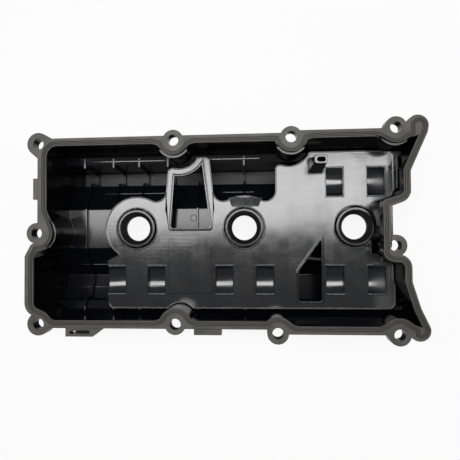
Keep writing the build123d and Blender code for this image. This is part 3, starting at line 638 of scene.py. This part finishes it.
# %% Ridges
ridge("shelf_left", (-166, 69.8), (-80, 69.8), width=1.7, lift=0.9)
ridge("shelf_middle", (-38, 70.2), (16, 70.2), width=1.7, lift=0.9)
ridge("crown_left", (-176, 49.2), (-84, 49.2), width=1.3, lift=0.5)
ridge("crown_middle", (-36, 49.2), (8, 49.2), width=1.3, lift=0.5)
ridge("foot_left", (-150, 38.0), (-84, 38.0), width=1.0, lift=0.7)
ridge("foot_middle", (-24, 38.0), (10, 38.0), width=1.0, lift=0.7)
ridge("exhaust_foot", (-180, -37.5), (-144, -37.5), width=1.0, lift=0.7)
ridge("exhaust_crown", (-190, -62.5), (-150, -62.5), width=1.2, lift=0.6)
ridge("right_land", (148.4, 63), (148.4, 36), width=2.6, lift=0.9, tilt=0.30)

# %% [markdown]
# ## Pin marks
# Ejector pins push the cover out of its mould and leave flat round marks with
# a fine raised ring. A thin torus, sunk to half its height, is that ring.

# %% Pin marks
PINS = {                    # place in mm and radius of the ring
    "crown_1": (-172.5, 57.4, 3.4), "crown_2": (-100.5, 58.5, 3.4),
    "crown_3": (-8.7, 59.6, 3.4), "valley": (-52.7, 10.9, 3.2),
}
RING_R, RING_LIFT = 0.35 * MM, 0.02 * MM
for name, (px, py, radius) in PINS.items():
    at = spot(px, py)
    at.z = surface_height(skins["cover"], at.x, at.y) + RING_LIFT
    bpy.ops.object.select_all(action="DESELECT")
    bpy.ops.mesh.primitive_torus_add(
        major_radius=radius * MM, minor_radius=RING_R,
        major_segments=36, minor_segments=8, location=at)
    bpy.ops.object.transform_apply()
    mark = new_piece("pin_" + name, rubbed)
    bpy.ops.object.shade_smooth()
    print(mark.name, "at", round(at.z / MM, 2))

# %% [markdown]
# ## Low land between the recesses
# The baffle has a low raised land with round shoulders between two pairs of
# lobe recesses. It starts as a plane of its size. Its two upper corners are
# rounded by a vertex bevel, and it is then drawn up and inset once.

# %% Land
LAND_X, LAND_Y = (-76.5, -32.3), (-65.0, -6.8)
LAND_R, LAND_H, LAND_EDGE = 13.0 * MM, 0.3 * MM, 0.5 * MM
FIELD_Z = PLATE_Z - RIM_DROP                # the field inside the rim

bpy.ops.object.select_all(action="DESELECT")
land_at = spot(sum(LAND_X) / 2, sum(LAND_Y) / 2)
bpy.ops.mesh.primitive_plane_add(size=1.0, location=(land_at.x, land_at.y, FIELD_Z))
land = bpy.context.object
land.scale = ((LAND_X[1] - LAND_X[0]) * MM, (LAND_Y[1] - LAND_Y[0]) * MM, 1)
bpy.ops.object.transform_apply()
pick_points(land, lambda px, py, pz: abs(py - LAND_Y[1]) < 0.1)
bpy.ops.mesh.bevel(offset=LAND_R, segments=12, affect="VERTICES")
bpy.ops.mesh.select_all(action="SELECT")
bpy.ops.mesh.extrude_region_move(TRANSFORM_OT_translate={"value": (0, 0, LAND_H)})
bpy.ops.mesh.inset(thickness=LAND_EDGE, depth=0.0)
face_outwards()
leave_edit_mode()
land = new_piece("baffle_land", gloss)
print(land.name, len(land.data.polygons), "faces", [round(v / MM, 1) for v in land.dimensions])

# %% [markdown]
# ## Wedge above the middle tube
# Above the middle tube the plate rises in a short wedge, narrower and higher
# towards the tube. A plane is taken by its corners, one after the other, and
# each is moved to its place. It is then given a thickness and a fine bevel.

# %% Wedge
WEDGE_LOW, WEDGE_HIGH, WEDGE_T = 0.15, 1.45, 1.2
WEDGE = {                   # corner of the plane: its place in mm and its lift
    (-1, 1): (-15.8, 30.2, WEDGE_LOW), (1, 1): (17.8, 30.0, WEDGE_LOW),
    (1, -1): (14.6, 20.9, WEDGE_HIGH), (-1, -1): (-12.2, 20.9, WEDGE_HIGH),
}
SIDE = 20.0                 # mm, the plane that it starts from
field = (FIELD_Z - TUBE.z) / MM
bpy.ops.object.select_all(action="DESELECT")
bpy.ops.mesh.primitive_plane_add(size=SIDE * MM, location=(0, 0, 0))
wedge = bpy.context.object
for (side_x, side_y), (wx, wy, lift) in WEDGE.items():
    corner = Vector((side_x, side_y, 0)) * SIDE / 2 * MM
    pick(wedge, "VERT", wedge.data.vertices, lambda point: (point.co - corner).length < 0.01 * MM)
    bpy.ops.transform.translate(value=spot(wx, wy, field + lift) - corner)
    leave_edit_mode()
bpy.ops.object.mode_set(mode="EDIT")
bpy.ops.mesh.select_all(action="SELECT")
bpy.ops.mesh.extrude_region_move(TRANSFORM_OT_translate={"value": (0, 0, -WEDGE_T * MM)})
face_outwards()
leave_edit_mode()
apply("BEVEL", width=0.2 * MM, segments=2)
wedge = new_piece("baffle_wedge", gloss)
print(wedge.name, "on a plate from and to", [
    [round(c / MM, 1) for c in corner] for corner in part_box("baffle_plate")])

# %% [markdown]
# ## Smooth shading
# Round stretches are to look round and flat faces flat. Only edges under 12
# degrees are shaded smooth, so that the humps' slopes stay crisp. Weighted
# normals then keep the large flat faces flat right up to their rounded edges.

# %% Shade the copies
for node, piece in skins.items():
    only(piece)
    bpy.ops.object.shade_smooth_by_angle(angle=radians(12))
    apply("WEIGHTED_NORMAL", keep_sharp=True, weight=100)
    print(node, "has custom normals:", piece.data.has_custom_normals)

# %% [markdown]
# ## Light table
# The cover lies on a white floor. To the camera most of the floor's white is
# its own glow, so that the background is even, and the rest of it is lit, so
# that the cover's shadow stays. A plain white floor would need more light,
# and the light is made for the cover alone.

# %% Floor
FLOOR_SIZE, FLOOR_Z = 6.0, -0.0002
GLOW_SHARE = 0.90
bpy.ops.mesh.primitive_plane_add(size=FLOOR_SIZE, location=(0, 0, FLOOR_Z))
floor = bpy.context.object
floor.name = "floor"
paper = Finish("paper", (0.9, 0.9, 0.9), 0.8)
glow = paper.node("Emission", {"Strength": 1.0})
seen = paper.node("LightPath", output="Is Camera Ray")
lit = Maths(paper.tree, paper.shader.outputs[0])
blend = paper.node("MixShader", {0: seen * GLOW_SHARE, 1: lit, 2: glow})
paper.fill(paper.tree.nodes["Material Output"].inputs[0], blend)
dress(floor, paper)
print("floor", floor.dimensions[:2])

# %% [markdown]
# ## Soft boxes
# Glossy black plastic shows little light of its own. What shows is the lamp
# that its flat faces mirror. So one long soft box hangs flat beyond the intake
# side, at the place where the upper part of the baffle mirrors it and the lower
# part doesn't. A weak second one fills the lower part. Both look straight down,
# as an unturned lamp does.

# %% Lamps
def soft_box(name, at, size, power):
    """A flat rectangular lamp that looks straight down."""
    lamp = bpy.data.lights.new(name, "AREA")
    lamp.shape, lamp.size, lamp.size_y = "RECTANGLE", *size
    lamp.energy = power
    made = bpy.data.objects.new(name, lamp)
    made.location = at
    scene.collection.objects.link(made)
    print(name, power, "W at", at)


soft_box("key", (-0.10, 0.15, 0.90), (1.16, 0.26), 7.7)
soft_box("fill", (-0.03, -0.16, 0.92), (1.2, 0.40), 0.11)

# %% [markdown]
# ## World
# The room gives a little light from all sides. To the camera alone it is white.
# If the glossy nylon mirrored a white room, its black walls would turn grey.

# %% World
ROOM_LIGHT = 0.15
world = bpy.data.worlds.new("studio")
world.use_nodes = True
room = Nodes(world.node_tree)
background = room.tree.nodes["Background"]
room.fill(background.inputs["Color"], (1, 1, 1))
seen = room.node("LightPath", output="Is Camera Ray")
room.fill(background.inputs["Strength"], ROOM_LIGHT + (1.0 - ROOM_LIGHT) * seen)
scene.world = world
scene.view_settings.view_transform = "Standard"
print("room light", ROOM_LIGHT)

# %% [markdown]
